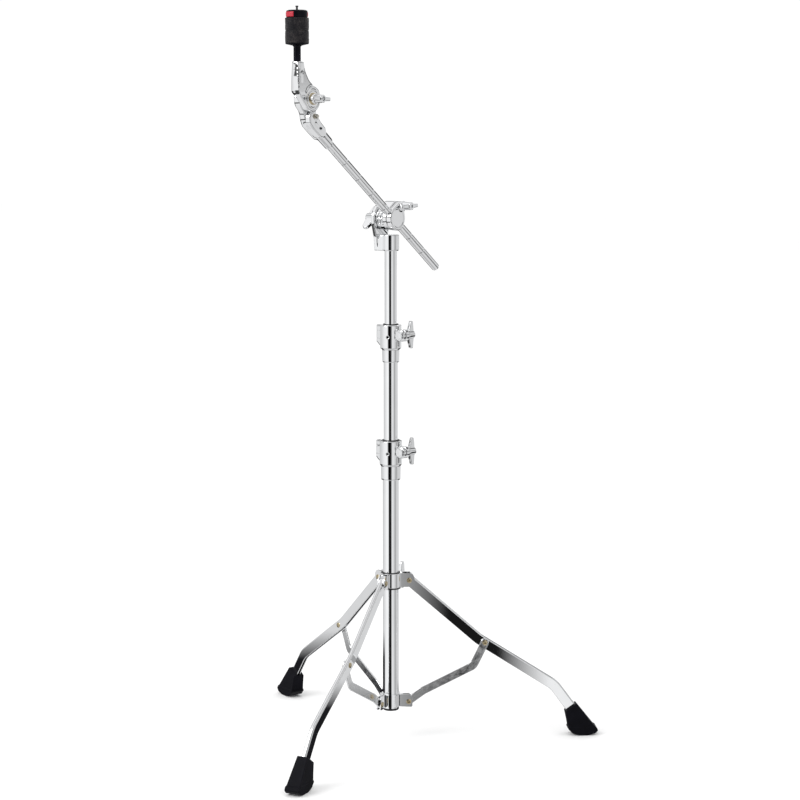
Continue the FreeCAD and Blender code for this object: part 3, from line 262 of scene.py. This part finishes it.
def felt_piece(name, node, seed, body):
    lo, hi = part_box(node)
    cx, cy = (lo[0] + hi[0]) / 2, (lo[1] + hi[1]) / 2
    R = (hi[0] - lo[0]) / 2
    z0, z1 = lo[2], hi[2]
    ri, c = 0.0056, 0.0008
    prof = []
    def arc(cr, cz, r, a0, a1, k=7):
        for i in range(k + 1):
            a = math.radians(a0 + (a1 - a0) * i / k)
            prof.append((cr + r * math.cos(a), cz + r * math.sin(a)))
    rows = 14
    for i in range(rows):                      # bottom, from the bore outwards
        prof.append((ri + 0.0008 + (R - c - ri - 0.0008) * i / rows, z0 + 0.0001 * math.sin(i * 1.7)))
    arc(R - c, z0 + c, c, -90, 0)
    hh = z1 - z0 - 2 * c
    for i in range(1, 16):                     # the wall is slightly full at mid-height
        t = i / 16
        prof.append((R + 0.0001 * math.sin(math.pi * t) , z0 + c + hh * t))
    arc(R - c, z1 - c, c, 0, 90)
    for i in range(1, rows + 1):
        prof.append((R - c - (R - c - ri - 0.0008) * i / rows, z1 - 0.00005))
    for i in range(0, 8):
        t = i / 7
        prof.append((ri, z1 - 0.0006 - (z1 - z0 - 0.0012) * t))
    def wob(a, r, z):
        v = Vector((math.cos(a) * r * 1000, math.sin(a) * r * 1000, z * 1000 + seed * 31))
        big = noise.noise(v * 0.16) * 0.00028
        fine = noise.noise(v * 0.75) * 0.00020 + noise.noise(v * 2.1) * 0.00010
        k = 1.0 if r > ri + 0.001 else 0.15
        edge = 1.0 if z0 + 0.0006 < z < z1 - 0.0006 else 0.25
        return ((big + fine) * k - 0.0001, fine * 0.3 * edge * k)
    o = lathe(name, prof, 128, (cx, cy), M["felt"], body, wob)
    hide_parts(node)
    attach(o, body)
    return o
felt_piece("felt_washer_lower", "felt_lower", 1, "tilter")
felt_piece("felt_washer_upper", "felt_upper", 2, "tilter")

# ------------------------------------------------------------------ studio
me = bpy.data.meshes.new("floor")
s = 14.0
me.from_pydata([(-s, -s, 0), (s, -s, 0), (s, s, 0), (-s, s, 0)], [], [(0, 1, 2, 3)])
floor = bpy.data.objects.new("floor", me)
floor.location.z = cad_lo[2] - 0.0002
bpy.context.scene.collection.objects.link(floor)
fm, nt, b = new_mat("floor_paper")
v = coords(nt)
nt.links.new(ramp(nt, noise_tex(nt, v, 9.0, 2.0), [(0.3, (0.965, 0.965, 0.965)), (0.7, (0.972, 0.972, 0.972))]), b.inputs["Base Color"])
b.inputs["Roughness"].default_value = 0.9
b.inputs["Specular IOR Level"].default_value = 0.0
me.materials.append(fm)

CAM = Vector((2.6342, 1.9535, 0.9906))
TH = 0.136
D = Vector((-0.8151 * math.cos(TH), -0.5793 * math.cos(TH), -math.sin(TH)))
HEAD = math.atan2(0.5793, 0.8151)

def studio_world():
    """Light tent: plain white for the floor, and for mirror-like metal a white tent
    with a narrow dark slit in front and greyer cloth on one side."""
    w = bpy.data.worlds.new("studio")
    w.use_nodes = True
    nt = w.node_tree
    nt.nodes.clear()
    out = nt.nodes.new("ShaderNodeOutputWorld")
    bg = nt.nodes.new("ShaderNodeBackground")
    nt.links.new(bg.outputs[0], out.inputs["Surface"])
    tc = nt.nodes.new("ShaderNodeTexCoord")
    sp = nt.nodes.new("ShaderNodeSeparateXYZ")
    nt.links.new(tc.outputs["Generated"], sp.inputs[0])
    def mth(op, *a):
        n = nt.nodes.new("ShaderNodeMath"); n.operation = op
        for k, x in enumerate(a):
            if isinstance(x, (int, float)):
                n.inputs[k].default_value = x
            else:
                nt.links.new(x, n.inputs[k])
        return n.outputs[0]
    X, Y, Z = sp.outputs
    c, sn = math.cos(HEAD), math.sin(HEAD)
    front = mth("ADD", mth("MULTIPLY", X, c), mth("MULTIPLY", Y, sn))
    right = mth("ADD", mth("MULTIPLY", X, -sn), mth("MULTIPLY", Y, c))
    az = mth("ARCTAN2", right, front)
    u = mth("ADD", mth("MULTIPLY", az, 1 / (2 * math.pi)), 0.5)
    rr = nt.nodes.new("ShaderNodeValToRGB")
    rr.color_ramp.interpolation = "LINEAR"
    stops = [(-180, .85), (-140, .62), (-105, .74), (-74, .93), (-45, 1.0), (-34, .88), (-27, .02), (-15, .0), (2.5, .0), (4.5, .34), (9.5, .40), (9.6, .01), (11.3, .010), (11.5, .93), (19, .84), (32, .80),
             (50, .62), (66, .30), (75, .60), (98, .66), (110, .72), (122, .64), (140, .80), (180, .85)]
    e = rr.color_ramp.elements
    while len(e) < len(stops):
        e.new(0.5)
    for k, (a, v) in zip(e, stops):
        k.position = (a + 180) / 360
        k.color = (v, v * 1.004, v * 1.012, 1)
    nt.links.new(u, rr.inputs["Fac"])
    # above and below the slit the tent closes
    r2 = nt.nodes.new("ShaderNodeValToRGB")
    st = [(0.0, .0), (0.10, .0), (0.18, 1.0), (0.80, 1.0), (0.87, .0), (1.0, .0)]
    e = r2.color_ramp.elements
    while len(e) < len(st):
        e.new(0.5)
    for k, (a, v) in zip(e, st):
        k.position = a
        k.color = (v, v, v, 1)
    nt.links.new(mth("ADD", mth("MULTIPLY", Z, 0.5), 0.5), r2.inputs["Fac"])
    r3 = nt.nodes.new("ShaderNodeValToRGB")
    st = [(0.0, .48), (0.045, .66), (0.075, .80), (0.09, .56), (0.10, .80), (0.135, .86), (0.17, .72), (0.30, .90), (0.80, .97), (0.93, .98), (0.975, .55), (1.0, .45)]
    e = r3.color_ramp.elements
    while len(e) < len(st):
        e.new(0.5)
    for k, (a, v) in zip(e, st):
        k.position = a
        k.color = (v, v, v * 1.01, 1)
    nt.links.new(mth("ADD", mth("MULTIPLY", Z, 0.5), 0.5), r3.inputs["Fac"])
    mx = nt.nodes.new("ShaderNodeMix"); mx.data_type = "RGBA"
    nt.links.new(r2.outputs[0], mx.inputs[0])
    nt.links.new(r3.outputs[0], mx.inputs[6])
    nt.links.new(rr.outputs[0], mx.inputs[7])
    # dark edge of the table, seen low down behind the stand
    back = mth("GREATER_THAN", mth("ABSOLUTE", az), math.radians(96))
    lim = mth("ADD", mth("MULTIPLY", mth("GREATER_THAN", az, 0.0), -0.022), -0.240)
    n = nt.nodes.new("ShaderNodeMapRange")
    n.inputs["From Min"].default_value = 0.0
    n.inputs["From Max"].default_value = -0.012
    nt.links.new(mth("SUBTRACT", Z, lim), n.inputs["Value"])
    low = mth("MULTIPLY", n.outputs["Result"], mth("GREATER_THAN", Z, -0.62))
    dark = nt.nodes.new("ShaderNodeMix"); dark.data_type = "RGBA"
    nt.links.new(mth("MULTIPLY", low, back), dark.inputs[0])
    nt.links.new(mx.outputs[2], dark.inputs[6])
    dark.inputs[7].default_value = (0.012, 0.012, 0.014, 1)
    # dark gaps between the cloths, above and below the level band that the upright tubes mirror
    r4 = nt.nodes.new("ShaderNodeValToRGB")
    st = [(0.0, 1.0), (0.225, 1.0), (0.24, .10), (0.285, .05), (0.30, .95), (0.34, 1.0), (0.56, 1.0), (0.575, .10), (0.605, .03), (0.62, .85), (0.65, 1.0), (0.80, 1.0), (0.83, .12), (0.86, .08), (0.88, 1.0), (1.0, 1.0)]
    e = r4.color_ramp.elements
    while len(e) < len(st):
        e.new(0.5)
    for k, (a, v) in zip(e, st):
        k.position = a
        k.color = (v, v, v, 1)
    nt.links.new(mth("ADD", mth("MULTIPLY", Z, 0.5), 0.5), r4.inputs["Fac"])
    gaps = nt.nodes.new("ShaderNodeMix"); gaps.data_type = "RGBA"; gaps.blend_type = "MULTIPLY"
    gaps.inputs[0].default_value = 1.0
    nt.links.new(dark.outputs[2], gaps.inputs[6])
    nt.links.new(r4.outputs[0], gaps.inputs[7])
    mx = gaps
    lp = nt.nodes.new("ShaderNodeLightPath")
    m2 = nt.nodes.new("ShaderNodeMix"); m2.data_type = "RGBA"
    nt.links.new(lp.outputs["Is Glossy Ray"], m2.inputs[0])
    m2.inputs[6].default_value = (1.04, 1.04, 1.04, 1)
    nt.links.new(mx.outputs[2], m2.inputs[7])
    nt.links.new(m2.outputs[2], bg.inputs["Color"])
    bg.inputs["Strength"].default_value = 1.0
    bpy.context.scene.world = w
studio_world()
floor.visible_glossy = False
cam_az = HEAD

def area(name, loc, to, size, power):
    l = bpy.data.lights.new(name, "AREA")
    l.shape = "RECTANGLE"
    l.size, l.size_y = size
    l.energy = power
    o = bpy.data.objects.new(name, l)
    o.location = loc
    o.rotation_euler = (Vector(to) - Vector(loc)).to_track_quat("-Z", "Y").to_euler()
    bpy.context.scene.collection.objects.link(o)
    return o
L = Vector((math.cos(cam_az - 1.1), math.sin(cam_az - 1.1), 0))
area("key", tuple(L * 3.0 + Vector((0, 0, 2.6))), (0, 0, 0.5), (1.6, 2.2), 45)

cam = bpy.data.cameras.new("camera")
cam.lens = 97.2
cam.sensor_width = 36.0
co = bpy.data.objects.new("camera", cam)
co.location = CAM
co.rotation_euler = D.to_track_quat("-Z", "Y").to_euler()
cam.clip_end = 60.0
bpy.context.scene.collection.objects.link(co)
bpy.context.scene.camera = co
bpy.context.scene.view_settings.view_transform = "Standard"
